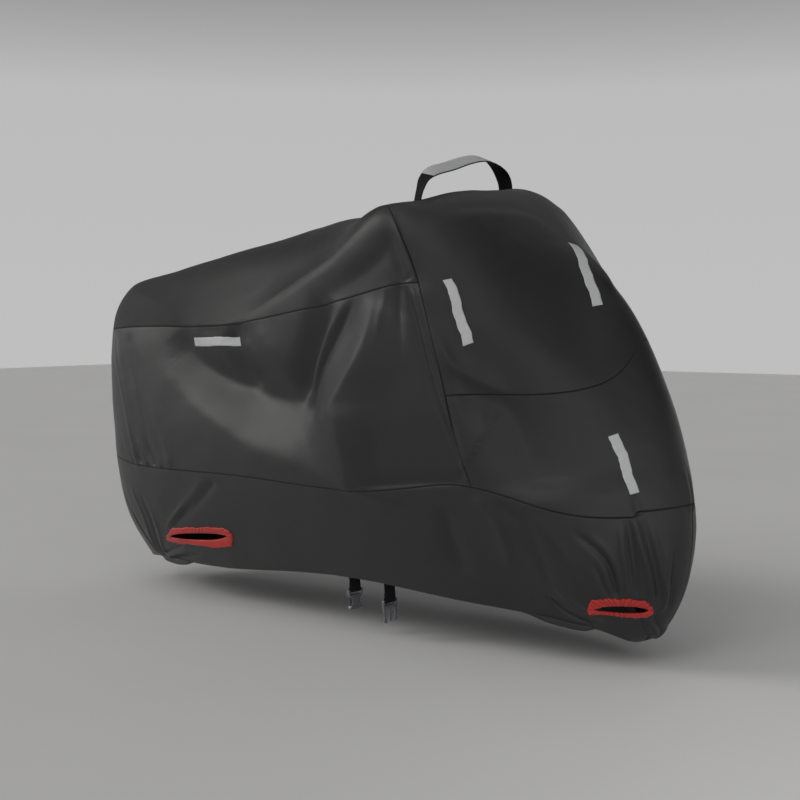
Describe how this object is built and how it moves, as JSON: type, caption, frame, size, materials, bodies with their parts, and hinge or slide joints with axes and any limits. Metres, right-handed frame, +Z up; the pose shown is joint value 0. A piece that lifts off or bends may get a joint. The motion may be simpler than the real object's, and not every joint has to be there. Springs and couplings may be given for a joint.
{
  "type": "motorcycle cover",
  "caption": "Hollow fitted outdoor cover of sewn coated cloth, low at the tail and high at the front, with bound lock holes, reflective strips, a carrying strap and a clip.",
  "frame": {"origin": "inner face of the cloth under the crown, on the middle line, where what is covered carries it", "axes": "+X towards the front of the cover, +Y to its left, +Z up"},
  "size_m": [2.0505, 0.773, 1.3046],
  "materials": {
    "cloth": "charcoal coated polyester cloth with a soft satin sheen",
    "binding": "bright red gathered satin binding",
    "tape": "light grey reflective tape, beaded",
    "webbing": "black woven webbing",
    "clip": "dark grey moulded plastic, slightly glossy"
  },
  "bodies": {
    "root": {"side_panel_right": "cloth", "skirt_right": "cloth", "lock_hole_binding_rear_right": "binding", "lock_hole_binding_front_right": "binding", "reflective_strip_rear_right": "tape", "reflective_strip_front_upper_right": "tape", "reflective_strip_front_lower_right": "tape", "side_panel_left": "cloth", "skirt_left": "cloth", "lock_hole_binding_rear_left": "binding", "lock_hole_binding_front_left": "binding", "reflective_strip_rear_left": "tape", "reflective_strip_front_upper_left": "tape", "reflective_strip_front_lower_left": "tape", "tail_panel": "cloth", "front_panel_upper": "cloth", "front_panel_lower": "cloth", "carrying_strap": "webbing", "carrying_strap_tape": "tape", "webbing_tail_socket": "webbing", "webbing_tail_pronged": "webbing", "clip_socket_half": "clip", "clip_pronged_half": "clip"}
  },
  "joints": []
}
